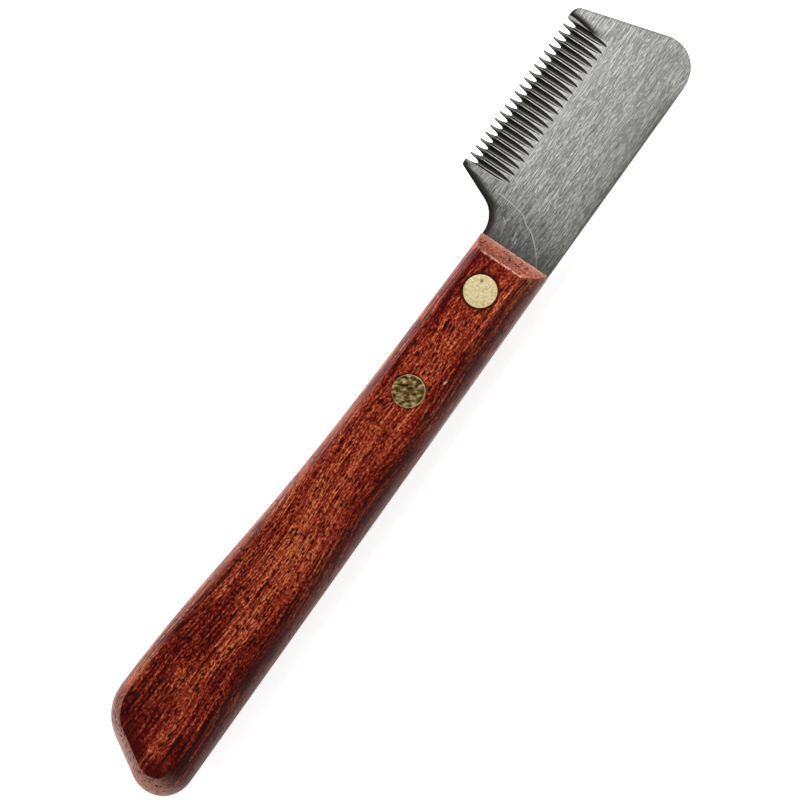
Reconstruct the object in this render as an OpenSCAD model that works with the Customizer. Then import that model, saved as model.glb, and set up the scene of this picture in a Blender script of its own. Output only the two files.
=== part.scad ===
// Coat-stripping comb knife: a grooved steel blade set in a slotted hardwood handle
// and held by two brass cutler's rivets. All sizes in millimetres.
// X runs from the butt to the blade tip, Y from the spine to the teeth, Z through the thickness.
// The knife lies on the flat back of its handle: z = 0 is that face, and the blade is half way up.

/* [Teeth] */

// Number of ground grooves, the teeth stand between them
groove_count = 21; // [6:1:30]
// Distance from one groove to the next
tooth_pitch = 1.555; // [1.2:0.005:2.4]
// Width of the crest left between two grooves
crest_width = 0.16; // [0.1:0.01:0.4]
// Length of a groove from its pointed end to the tooth tips
groove_length = 9.35; // [6:0.05:13]
// Depth of the open notch, where a groove comes out through the back of the blade
notch_depth = 1.95; // [0.8:0.05:3.5]

/* [Blade] */

// Thickness of the blade and of its tang
blade_thickness = 1.2; // [0.8:0.1:2]
// Width of the blade from its spine to the tooth tips
blade_width = 25.4; // [21:0.1:34]
// Width of the plain post before the first groove
front_post = 1.25; // [1:0.05:4]
// Width of the plain corner after the last groove
corner_post = 2.5; // [1.5:0.05:6]
// Length of straight neck between the handle and the finger notch
neck_length = 0.1; // [0.1:0.1:5]
// Radius of the finger notch between handle and front post
choil_radius = 5.85; // [4:0.05:9]
// Slope of the front post's flank, measured from the blade's length
flank_angle = 67; // [55:1:85]
// Lean of the blade's end away from square
end_lean = 16; // [0:0.5:25]
// Radius of the large corner where the end meets the spine
tip_radius = 6.3; // [3:0.1:10]
// Radius of the small corner where the end meets the tooth row
corner_radius = 0.9; // [0.3:0.1:1.2]
// Radius of the front post's tip
post_radius = 0.55; // [0.2:0.05:0.6]

/* [Handle] */

// Length of the handle
handle_length = 120; // [105:0.5:150]
// Thickness of the handle
handle_thickness = 12.5; // [10:0.1:18]
// Width of the handle at its front end
front_width = 14.8; // [13.5:0.1:18]
// How far the finger side rises from the front end to the heel
belly_rise = 5.4; // [2:0.1:8]
// How far the spine side falls from the front end to the butt
spine_drop = 0.5; // [0:0.1:2]
// Slant of the butt away from square
butt_slant = 31; // [0:1:38]
// Radius of the butt's rear corner, on the spine side
toe_radius = 6; // [4:0.1:8]
// Radius of the butt's other corner, on the finger side
heel_radius = 9.3; // [4:0.1:11]
// Width of the rounding along both sides, seen from above
side_round = 2.9; // [1.5:0.1:3.2]
// Width of the rounding around the butt, seen from above
butt_round = 1.7; // [1:0.1:3]
// Length of the slope cut on each face at the front end
front_slope = 3.7; // [1:0.1:5]
// Height of the square land left between that slope and the blade
front_land = 0.3; // [0.2:0.05:1]

/* [Fixing] */

// Distance of the front rivet behind the handle's front end
rivet_setback = 10.1; // [9:0.1:14]
// Distance between the two rivets
rivet_spacing = 22.8; // [12:0.1:40]
// Length of tang behind the rear rivet
tang_margin = 5.3; // [4:0.1:12]
// Diameter of the rivet heads
rivet_head_d = 6.4; // [5.6:0.1:7.4]
// Thickness of the rivet heads
rivet_head_t = 1.6; // [1:0.1:2.5]
// Outside diameter of the rivet tubes
rivet_tube_d = 4.6; // [4:0.1:5.2]
// Diameter of the rivet stems
rivet_stem_d = 3; // [2.4:0.1:3.4]
// Clearance of the blade and the rivets in the wood, all round
fit_gap = 0.05; // [0.02:0.01:0.15]
// Clearance of a stem in its tube, all round
press_gap = 0.01; // [0.005:0.005:0.05]
// Depth of the rivet heads below the wood
head_sink = 0.02; // [0:0.01:0.1]

/* [Hidden] */

$fn = 64;
// Overshoot of the cutting bodies
over = 1;
half = handle_thickness / 2;

// Handle outline: the toe arc, the heel arc and the line between them
toe = [toe_radius - handle_length, toe_radius - spine_drop];
heel_y = front_width + belly_rise - heel_radius;
heel = [
    toe.x + ((heel_y - toe.y) * sin(butt_slant) + heel_radius - toe_radius) / cos(butt_slant),
    heel_y
];
// Share of the finger side's rise that is an even slope, and how late the rest comes
even_share = 0.44;
late_power = 1.8;

// Smooth step from 0 to 1
function step5(q) = q * q * q * (10 - 15 * q + 6 * q * q);
// Height of the finger side and of the spine side at x, with x = 0 at the handle's front end
function finger_y(x) =
    let (t = x / heel.x)
    front_width + belly_rise * (even_share * t + (1 - even_share) * step5(pow(max(t, 0), late_power)));
function spine_y(x) = spine_drop * x / -toe.x;

// Rivets and tang: both rivets lie on the handle's middle line, taken half way between them
rivet_mid = -rivet_setback - rivet_spacing / 2;
rivet_y = (finger_y(rivet_mid) + spine_y(rivet_mid)) / 2;
rivet_front = [-rivet_setback, rivet_y];
rivet_rear = [-rivet_setback - rivet_spacing, rivet_y];
tang_length = rivet_setback + rivet_spacing + tang_margin;
tube_bore_d = rivet_stem_d + 2 * press_gap;
// Height of a head's outer face and of its seat, from mid height
head_face = half - head_sink;
head_seat = head_face - rivet_head_t;
// Space left between the end of a stem or tube and the opposite head
rivet_end_gap = 0.5;
shank = 2 * head_seat - rivet_end_gap;

// Tooth row
groove_radius = (tooth_pitch - crest_width) / 2;
groove_dip = atan(blade_thickness / (groove_length - notch_depth));
neck_y = finger_y(0) - fit_gap;
// Angle between a round corner and the straight edges beside it: the two cross, because edges that only touch don't join
kink = 2;
choil = [neck_length + choil_radius * tan(kink), neck_y + choil_radius];
choil_end = choil + choil_radius * [sin(flank_angle), -cos(flank_angle)];
post_x = choil_end.x + (blade_width - choil_end.y) / tan(flank_angle);
first_groove = post_x + front_post + groove_radius;
last_groove = first_groove + (groove_count - 1) * tooth_pitch;
corner_x = last_groove + groove_radius + corner_post;

// Blade corners: centres of the arcs
end_out = [cos(end_lean), sin(end_lean)];
flank_out = [-sin(flank_angle), cos(flank_angle)];
tip = [
    corner_x + ((blade_width - tip_radius) * sin(end_lean) - tip_radius) / cos(end_lean),
    tip_radius
];
corner = [corner_x + (corner_radius * sin(end_lean) - corner_radius) / cos(end_lean), blade_width - corner_radius];
post = [
    post_x + (post_radius - post_radius * cos(flank_angle)) / sin(flank_angle),
    blade_width - post_radius
];

// The middle of the bounding box goes over the origin
mid_x = (tip.x + tip_radius / cos(kink) - handle_length) / 2;
mid_y = (corner.y + corner_radius / cos(kink) - spine_drop) / 2;

// From the handle's own axes, with the blade in the plane z = 0, to the shared frame
module place() {
    translate([-mid_x, -mid_y, half]) children();
}

// Points of an arc with the angle from its centre
function arc(c, r, a0, a1, n) = [for (i = [0:n]) let (a = a0 + (a1 - a0) * i / n) [c, r, a]];
function arc_point(p) = p[0] + p[1] * [cos(p[2]), sin(p[2])];

// Flat shape of blade and tang: straight edges, then the round corners, then the finger notch
module blade_plan() {
    tang_x = [for (i = [0:4]) -tang_length * (1 - i / 4)];
    difference() {
        union() {
            polygon(concat(
                [for (x = tang_x) [x, spine_y(x) + fit_gap]],
                [[0, 0], [tip.x, 0], tip + tip_radius * end_out],
                [corner + corner_radius * end_out, [corner.x, blade_width]],
                [[post.x, blade_width], post + post_radius * flank_out, choil_end, choil, [choil.x, neck_y]],
                [for (i = [4:-1:0]) [tang_x[i], finger_y(tang_x[i]) - fit_gap]]
            ));
            translate(tip) circle(r = tip_radius / cos(kink));
            translate(corner) circle(r = corner_radius / cos(kink));
            translate(post) circle(r = post_radius / cos(kink));
        }
        translate(choil) circle(r = choil_radius / cos(kink));
    }
}

// One groove: a round-nosed cut that enters the upper face and dips toward the tooth tips
module groove_cut() {
    rotate([-groove_dip, 0, 0]) translate([0, -over, groove_radius]) {
        rotate([-90, 0, 0]) cylinder(r = groove_radius, h = groove_length + 3 * over);
        translate([-groove_radius, 0, 0])
            cube([2 * groove_radius, groove_length + 3 * over, 2 * blade_thickness + over]);
    }
}

module blade() {
    color("silver") place() difference() {
        translate([0, 0, -blade_thickness / 2]) linear_extrude(blade_thickness) blade_plan();
        for (i = [0:groove_count - 1])
            translate([first_groove + i * tooth_pitch, blade_width - groove_length, blade_thickness / 2])
                groove_cut();
        for (p = [rivet_front, rivet_rear])
            translate([p.x, p.y, -blade_thickness / 2 - over])
                cylinder(d = rivet_tube_d + 2 * fit_gap, h = blade_thickness + 2 * over);
    }
}

// Outline of the handle as [point, outward direction], from the front end round the butt and back
toe_steps = 16;
heel_steps = 12;
finger_steps = 28;
rim = concat(
    [[[over, 0], [0, -1]], [[0, 0], [0, -1]]],
    [for (p = arc(toe, toe_radius, 270, 180 - butt_slant, toe_steps)) [arc_point(p), [cos(p[2]), sin(p[2])]]],
    [for (p = arc(heel, heel_radius, 180 - butt_slant, 90, heel_steps)) [arc_point(p), [cos(p[2]), sin(p[2])]]],
    [for (i = [1:finger_steps])
        let (x = heel.x * (1 - i / finger_steps), slope = (finger_y(x + 0.1) - finger_y(x - 0.1)) / 0.2)
        [[x, finger_y(x)], [-slope, 1] / norm([slope, 1])]],
    [[[over, finger_y(over)], [0, 1]]]
);

// Width of the rounding where the outline faces direction d
function round_width(d) =
    side_round + (butt_round - side_round) * pow(min(1, max(0, -d.x) / cos(butt_slant)), 2);
// Inset of a circular side that is upright at mid height and w in at the face
function side_inset(w, z) = let (r = (w * w + half * half) / (2 * w)) r - sqrt(r * r - z * z);

// Handle without cuts: the outline at each height, drawn in by the side's round
side_steps = 10;
module handle_blank() {
    n = len(rim);
    points = [for (k = [0:side_steps]) let (z = half * (2 * k / side_steps - 1))
        for (p = rim) let (q = p[0] - p[1] * side_inset(round_width(p[1]), z)) [q.x, q.y, z]];
    sides = [for (k = [0:side_steps - 1]) for (i = [0:n - 2])
        let (a = k * n + i, b = a + n)
        for (f = [[a, a + 1, b + 1], [a, b + 1, b]]) f];
    front = concat([for (k = [0:side_steps]) k * n], [for (k = [side_steps:-1:0]) k * n + n - 1]);
    polyhedron(
        points = points,
        faces = concat(
            sides,
            [front],
            [[for (i = [n - 1:-1:0]) i], [for (i = [0:n - 1]) side_steps * n + i]]
        )
    );
}

// Space in front of the handle: the square end and the slope on each face
module front_cut() {
    land = blade_thickness / 2 + fit_gap + front_land;
    run = front_slope * (half + over - land) / (half - land);
    rotate([90, 0, 0]) translate([0, 0, -2 * front_width]) linear_extrude(4 * front_width)
        polygon([
            [0, -land], [0, land], [-run, half + over],
            [3 * over, half + over], [3 * over, -half - over], [-run, -half - over]
        ]);
}

module handle() {
    color("sienna") place() difference() {
        handle_blank();
        front_cut();
        // Saw cut for the tang
        translate([-tang_length - fit_gap, -front_width, -blade_thickness / 2 - fit_gap])
            cube([tang_length + fit_gap + 2 * over, 3 * front_width, blade_thickness + 2 * fit_gap]);
        // Rivet bores and the recesses for their heads
        recess = half + over - head_seat;
        for (p = [rivet_front, rivet_rear]) translate([p.x, p.y, 0]) {
            cylinder(d = rivet_tube_d + 2 * fit_gap, h = handle_thickness + 2 * over, center = true);
            for (side = [-1, 1])
                translate([0, 0, side * (head_seat + recess / 2)])
                    cylinder(d = rivet_head_d + 2 * fit_gap, h = recess, center = true);
        }
    }
}

// Upper half of a rivet: a head on a solid stem
module rivet_post(p) {
    color("gold") place() translate([p.x, p.y, 0]) {
        translate([0, 0, head_seat]) cylinder(d = rivet_head_d, h = rivet_head_t);
        translate([0, 0, head_seat - shank]) cylinder(d = rivet_stem_d, h = shank + rivet_head_t / 2);
    }
}

// Lower half of a rivet: a head on a tube that takes the stem
module rivet_tube(p) {
    color("darkgoldenrod") place() translate([p.x, p.y, 0]) difference() {
        union() {
            translate([0, 0, -head_face]) cylinder(d = rivet_head_d, h = rivet_head_t);
            translate([0, 0, -head_seat - rivet_head_t / 2])
                cylinder(d = rivet_tube_d, h = shank + rivet_head_t / 2);
        }
        translate([0, 0, -head_seat]) cylinder(d = tube_bore_d, h = 2 * head_seat + over);
    }
}

module front_rivet_post() { rivet_post(rivet_front); }
module front_rivet_tube() { rivet_tube(rivet_front); }
module rear_rivet_post() { rivet_post(rivet_rear); }
module rear_rivet_tube() { rivet_tube(rivet_rear); }

blade();
handle();
front_rivet_post();
front_rivet_tube();
rear_rivet_post();
rear_rivet_tube();
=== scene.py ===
"""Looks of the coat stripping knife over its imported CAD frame: ground steel blade, oiled rosewood handle, brass rivets.

Shapes are worked out in millimetres in the handle's own axes: x forward from the handle's front end, y from the spine
to the tooth tips, z up from the blade's middle plane. place() sets them into the shared frame, in metres.
"""

from functools import reduce

import bmesh
import bpy
import numpy as np
from mathutils import Matrix, Vector


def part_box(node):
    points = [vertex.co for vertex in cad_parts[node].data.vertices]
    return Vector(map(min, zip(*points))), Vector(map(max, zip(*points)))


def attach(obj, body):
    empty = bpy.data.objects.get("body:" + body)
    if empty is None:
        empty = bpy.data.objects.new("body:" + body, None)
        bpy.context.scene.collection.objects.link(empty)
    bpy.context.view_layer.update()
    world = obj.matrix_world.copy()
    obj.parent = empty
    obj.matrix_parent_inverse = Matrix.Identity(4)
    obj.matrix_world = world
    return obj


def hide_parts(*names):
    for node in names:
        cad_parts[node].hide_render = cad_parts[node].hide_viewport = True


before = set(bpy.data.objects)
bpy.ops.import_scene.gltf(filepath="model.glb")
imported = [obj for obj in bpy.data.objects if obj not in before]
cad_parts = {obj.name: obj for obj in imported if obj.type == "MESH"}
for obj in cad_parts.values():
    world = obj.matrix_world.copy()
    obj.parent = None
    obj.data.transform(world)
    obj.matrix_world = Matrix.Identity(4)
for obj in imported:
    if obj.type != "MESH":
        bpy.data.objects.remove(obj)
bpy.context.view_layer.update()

# ---------------------------------------------------------------------------------------------------------------
# Sizes in millimetres, as in the CAD source

HANDLE_LENGTH, HALF = 120.0, 6.25
FRONT_WIDTH, BELLY_RISE, SPINE_DROP = 14.8, 5.4, 0.5
BUTT_SLANT, TOE_RADIUS, HEEL_RADIUS = np.radians(31), 6.0, 9.3
SIDE_ROUND, BUTT_ROUND = 2.9, 1.7
FRONT_SLOPE, FRONT_LAND = 3.7, 0.3
EVEN_SHARE, LATE_POWER = 0.44, 1.8
FIT = 0.05

THICK, BLADE_WIDTH = 1.2, 25.4
GROOVES, PITCH, CREST = 21, 1.555, 0.16
GROOVE_LENGTH, NOTCH = 9.35, 1.95
FRONT_POST, CORNER_POST, NECK, KINK = 1.25, 2.5, 0.1, np.radians(2)
CHOIL_RADIUS, FLANK, END_LEAN = 5.85, np.radians(67), np.radians(16)
# the end corner is worn from 0.9 to 2 mm
TIP_RADIUS, CORNER_RADIUS, POST_RADIUS = 6.3, 2.0, 0.55

RIVET_X = (-10.1, -32.9)
HEAD_R, HEAD_T, TUBE_R, STEM_R = 3.2, 1.6, 2.3, 1.5
HEAD_SINK, STEM_FIT, END_GAP = 0.02, 0.01, 0.5
HEAD_FACE = HALF - HEAD_SINK
SEAT = HEAD_FACE - HEAD_T
SHANK = 2 * SEAT - END_GAP
TANG_LENGTH = 38.2
KERF = THICK / 2 + FIT

# Finish: broken edges, what is left of the plate where a groove runs out, and the rivet heads' rounded rims
EDGE_BREAK, FEATHER = 0.12, 0.03
RIM_ROUND, CROWN = 0.16, 0.07

# Half sides of the blocks of cells that the rivet holes are set in, in the tang and in the wood
HOLE_BLOCK, BORE_BLOCK = 3.4, 4.0

TOE = np.array([TOE_RADIUS - HANDLE_LENGTH, TOE_RADIUS - SPINE_DROP])
HEEL_Y = FRONT_WIDTH + BELLY_RISE - HEEL_RADIUS
HEEL = np.array([
    TOE[0] + ((HEEL_Y - TOE[1]) * np.sin(BUTT_SLANT) + HEEL_RADIUS - TOE_RADIUS) / np.cos(BUTT_SLANT),
    HEEL_Y,
])


def finger_side(x):
    """Height of the handle's finger side: an even rise toward the butt plus a smooth late swell."""
    t = x / HEEL[0]
    late = np.maximum(t, 0) ** LATE_POWER
    swell = late**3 * (10 - 15 * late + 6 * late**2)
    return FRONT_WIDTH + BELLY_RISE * (EVEN_SHARE * t + (1 - EVEN_SHARE) * swell)


def spine_side(x):
    """Height of the handle's spine side: a straight line that drops a little toward the butt."""
    return SPINE_DROP * x / -TOE[0]


RIVET_Y = (finger_side(np.mean(RIVET_X)) + spine_side(np.mean(RIVET_X))) / 2

handle_low, handle_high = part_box("handle")
ORIGIN = np.array([handle_high.x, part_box("blade")[1].y - BLADE_WIDTH / 1000, (handle_low.z + handle_high.z) / 2])


def place(points):
    """Own axes in millimetres to the shared frame in metres."""
    return ORIGIN + np.asarray(points, float) / 1000


# ---------------------------------------------------------------------------------------------------------------
# Curve and mesh helpers


def half_round(x, centre, radius):
    """Height of a circle above its centre at x, 0 outside it."""
    return np.sqrt(np.maximum(radius**2 - (x - centre) ** 2, 0))


def blunt(distance, radius):
    """How far a rounded edge of that radius lies below its face, at a distance in from the edge."""
    inward = np.clip(radius - distance, 0, radius)
    return radius - np.sqrt(np.maximum(radius**2 - inward**2, 0))


def fade(x, start, stop):
    """0 before start, 1 after stop, smooth between."""
    t = np.clip((x - start) / (stop - start), 0, 1)
    return t * t * (3 - 2 * t)


def within(distance, reach):
    """1 at no distance, 0 from that reach on, straight between."""
    return np.clip(1 - distance / reach, 0, 1)


def quads(ids):
    """One face for each cell of a grid of vertex numbers."""
    return np.stack([ids[:-1, :-1], ids[1:, :-1], ids[1:, 1:], ids[:-1, 1:]], -1).reshape(-1, 4)


def cells_but(ids, holes):
    """The grid's faces without the cells of each block (first row, last row, first column, last column)."""
    keep = np.ones((ids.shape[0] - 1, ids.shape[1] - 1), bool)
    for a, b, c, d in holes:
        keep[a:b, c:d] = False
    return quads(ids)[keep.ravel()]


def rim_of(ids, block):
    """Vertex numbers round a block of the grid, in order."""
    a, b, c, d = block
    return np.concatenate([ids[a:b, c], ids[b, c:d], ids[b:a:-1, d], ids[a, d:c:-1]])


def add_bore(points, at, rim, steps, last):
    """Adds a ring round a rivet's axis for each step of radius and height, with every point in line with one of the
    rim's. Gives the points and the vertex numbers of the loops: the rim, the rings and the last loop."""
    axis = (at, RIVET_Y)
    out = points[rim][:, :2] - axis
    out /= np.linalg.norm(out, axis=1, keepdims=True)
    rings = len(points) + np.arange(len(steps) * len(rim)).reshape(len(steps), -1)
    added = [np.c_[axis + radius * out, np.full(len(rim), z)] for radius, z in steps]
    return np.concatenate([points, *added]), np.stack([rim, *rings, last])


def build(name, node, material, points, quad_faces, marks, wide_faces=(), sharp=30):
    """A closed piece from points in own axes and faces by number; doubles are merged and faces turned outward.
    marks gives the values of named attributes at each point."""
    faces = np.concatenate(quad_faces)
    used, compact = np.unique(np.concatenate([faces.ravel(), *wide_faces]), return_inverse=True)
    compact = compact.ravel()
    count = faces.size
    listed = compact[:count].reshape(-1, 4).tolist()
    for face in wide_faces:
        listed.append(compact[count:count + len(face)].tolist())
        count += len(face)
    mesh = bpy.data.meshes.new(name)
    mesh.from_pydata(place(points[used]).tolist(), [], listed)
    for mark, values in marks.items():
        mesh.attributes.new(mark, "FLOAT", "POINT").data.foreach_set("value", values[used].astype(np.float32))
    bm = bmesh.new()
    bm.from_mesh(mesh)
    bmesh.ops.remove_doubles(bm, verts=bm.verts, dist=1e-7)
    bmesh.ops.dissolve_degenerate(bm, edges=bm.edges, dist=1e-8)
    bmesh.ops.recalc_face_normals(bm, faces=bm.faces)
    bm.to_mesh(mesh)
    bm.free()
    mesh.polygons.foreach_set("use_smooth", np.ones(len(mesh.polygons), bool))
    mesh.set_sharp_from_angle(angle=np.radians(sharp))
    mesh.materials.append(material)
    piece = bpy.data.objects.new(name, mesh)
    bpy.context.scene.collection.objects.link(piece)
    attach(piece, "root")
    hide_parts(node)


# ---------------------------------------------------------------------------------------------------------------
# Material helpers


def hex_linear(code):
    """sRGB hex to the linear colour that a shader takes."""
    c = np.array([int(code[i:i + 2], 16) for i in (1, 3, 5)]) / 255
    return (*np.where(c <= 0.04045, c / 12.92, ((c + 0.055) / 1.055) ** 2.4), 1.0)


def add_node(tree, kind, links=(), stops=(), **settings):
    """Adds a node: settings are its properties, links its inputs in order, or by name or number, and stops the places
    and hex colours of a ramp. A link is a value, another node's output, or a node, meaning its first output."""
    made = tree.nodes.new("ShaderNode" + kind)
    for key, value in settings.items():
        setattr(made, key, value)
    for key, value in links.items() if isinstance(links, dict) else enumerate(links):
        if isinstance(value, bpy.types.Node):
            value = value.outputs[0]
        if isinstance(value, bpy.types.NodeSocket):
            tree.links.new(value, made.inputs[key])
        else:
            made.inputs[key].default_value = value
    ramp = made.color_ramp.elements if stops else ()
    while len(ramp) < len(stops):
        ramp.new(0.5)
    for element, (at, code) in zip(ramp, stops):
        element.position, element.color = at, hex_linear(code)
    return made


def new_material(name):
    """An empty node material and its tree."""
    material = bpy.data.materials.new(name)
    material.use_nodes = True
    material.node_tree.nodes.clear()
    return material, material.node_tree


def own_axes(tree):
    """Object coordinates in the handle's own axes, in millimetres."""
    where = add_node(tree, "TexCoord").outputs["Object"]
    return add_node(tree, "Mapping", {"Vector": where, "Location": tuple(-1000 * ORIGIN), "Scale": (1000, 1000, 1000)})


def ground_steel():
    """Stainless steel plate, ground along its length: fine bright and dark lines, a satin shine, one long scratch,
    painted highlights on the crests and groove walls, and darker grooves and edges, partly left rougher by the grind
    and partly painted shade."""
    material, tree = new_material("stainless_steel_ground")
    mm = own_axes(tree)
    x, y = add_node(tree, "SeparateXYZ", (mm,)).outputs[:2]
    # crests, partly worn bright by rubbing and partly a painted highlight, and a painted highlight line in
    # each groove; darker steel from 0 to 1: grooves, partly a rougher grind and partly painted shade, and
    # painted shade on the worn corners, the plate's edges, root, spine and tooth tips; from 1 to 2 the steel
    # goes black, painted shade
    rubbed_and_highlight, dulled_and_shaded = (add_node(tree, "Attribute", attribute_name=name).outputs["Fac"] for name in ("rubbed_and_highlight", "dulled_and_shaded"))
    black = add_node(tree, "Math", (dulled_and_shaded, 1.0), operation="SUBTRACT")
    # grinding lines of a few hundredths, drawn as straight dashes 0.13 and 0.15 mm wide and 0.65 and 1.8 mm long so
    # that they show, deeper near the root: each lane of dashes is slipped by a random part of their length
    whole = 999.0  # a step that spans the blade
    lines = 0.0
    for long, wide in ((0.65, 0.13), (1.8, 0.15)):
        lane = add_node(tree, "VectorMath", (mm, (whole, wide, whole)), operation="SNAP")
        slip = add_node(tree, "TexWhiteNoise", (lane,)).outputs["Color"]
        dash = add_node(tree, "VectorMath", (slip, (long, 0.0, 0.0), mm), operation="MULTIPLY_ADD")
        dash = add_node(tree, "VectorMath", (dash, (long, wide, whole)), operation="SNAP")
        dash = add_node(tree, "TexWhiteNoise", (dash,))
        lines = add_node(tree, "Math", (dash, 0.5, lines), operation="MULTIPLY_ADD")
    deep = add_node(tree, "MapRange", (x, 4.0, 28.0, 0.53, 0.34))
    fine = add_node(tree, "Math", (lines, 0.5), operation="SUBTRACT")
    fine = add_node(tree, "Math", (fine, deep, 0.5), operation="MULTIPLY_ADD")
    tone = add_node(tree, "ValToRGB", (fine,), stops=[(0.2, "#505252"), (0.5, "#9fa09b"), (0.8, "#eeefec")])
    # single deeper lines 6 mm long, drawn 0.2 mm wide so that they show
    cut = add_node(tree, "Mapping", {"Vector": mm, "Location": (5, 3, 1), "Scale": (1 / 6, 1 / 0.2, 1 / 0.2)})
    cut = add_node(tree, "TexNoise", {"Vector": cut, "Scale": 1.0, "Detail": 0.0})
    cut = add_node(tree, "MapRange", (cut, 0.66, 0.76, 0.0, 0.5))
    # the long scratch: a shaky arc of 16.7 mm radius across the root, drawn 0.18 mm wide, faded out at both ends
    shake = add_node(tree, "TexNoise", {"Vector": mm, "Scale": 1 / 3, "Detail": 1.0}).outputs["Color"]
    arm = add_node(tree, "VectorMath", (shake, (0.9, 0.9, 0.0), mm), operation="MULTIPLY_ADD")
    arm = add_node(tree, "VectorMath", (arm, (8.4, -17.1, 0.0)), operation="ADD")
    arm = add_node(tree, "VectorMath", (arm, (1.0, 1.0, 0.0)), operation="MULTIPLY")
    arm = add_node(tree, "VectorMath", (arm,), operation="LENGTH").outputs["Value"]
    mark = add_node(tree, "Math", (arm, 16.7, 0.09), operation="COMPARE")
    for low, high, strength in ((1.0, 5.0, 0.55), (17.0, 15.5, 1.0)):
        end = add_node(tree, "MapRange", (y, low, high, 0.0, strength))
        mark = add_node(tree, "Math", (mark, end), operation="MULTIPLY")
    # a few short scuffs near the notch: middle, half length and half width in millimetres, and turn
    for at, half, turn in (((10.0, 9.5), (3.4, 0.09), -0.03), ((4.2, 12.6), (0.7, 0.1), 0.9),
                           ((4.7, 12.2), (0.5, 0.1), -0.5), ((2.7, 9.4), (0.9, 0.12), 0.1),
                           ((2.2, 8.7), (0.6, 0.1), 0.25), ((9.5, 4.6), (0.5, 0.1), 0.7)):
        scuff = add_node(tree, "Mapping", {"Vector": mm, "Location": (*at, 0), "Rotation": (0, 0, turn)},
                         vector_type="TEXTURE")
        scuff = add_node(tree, "SeparateXYZ", (scuff,))
        inside = [add_node(tree, "Math", (scuff.outputs[i], 0.0, half[i]), operation="COMPARE") for i in (0, 1)]
        scuff = add_node(tree, "Math", inside, operation="MULTIPLY")
        mark = add_node(tree, "Math", (scuff, 0.4, mark), operation="MULTIPLY_ADD", use_clamp=True)
    # mixes: deeper lines, painted highlights on the crests and groove walls, darker grooves and edges that are mostly
    # painted shade and go black, then the scratch and scuffs
    for amount, code in ((cut, "#e8e8e2"), (rubbed_and_highlight, "#f3f2ee"), (dulled_and_shaded, "#45423e"), (black, "#050505"),
                         (mark, "#dcdcd6")):
        tone = add_node(tree, "Mix", {0: amount, 6: tone, 7: hex_linear(code)}, data_type="RGBA").outputs[2]
    rough = add_node(tree, "MapRange", (lines, 0.0, 1.0, 0.33, 0.24))
    rough = add_node(tree, "Mix", {0: dulled_and_shaded, 2: rough, 3: 0.44})
    bump = add_node(tree, "Bump", {"Height": lines, "Strength": 0.15, "Distance": 2e-5})
    shader = add_node(tree, "BsdfPrincipled", {"Base Color": tone, "Metallic": 1.0, "Roughness": rough, "Normal": bump})
    add_node(tree, "OutputMaterial", (shader,))
    return material


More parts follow.
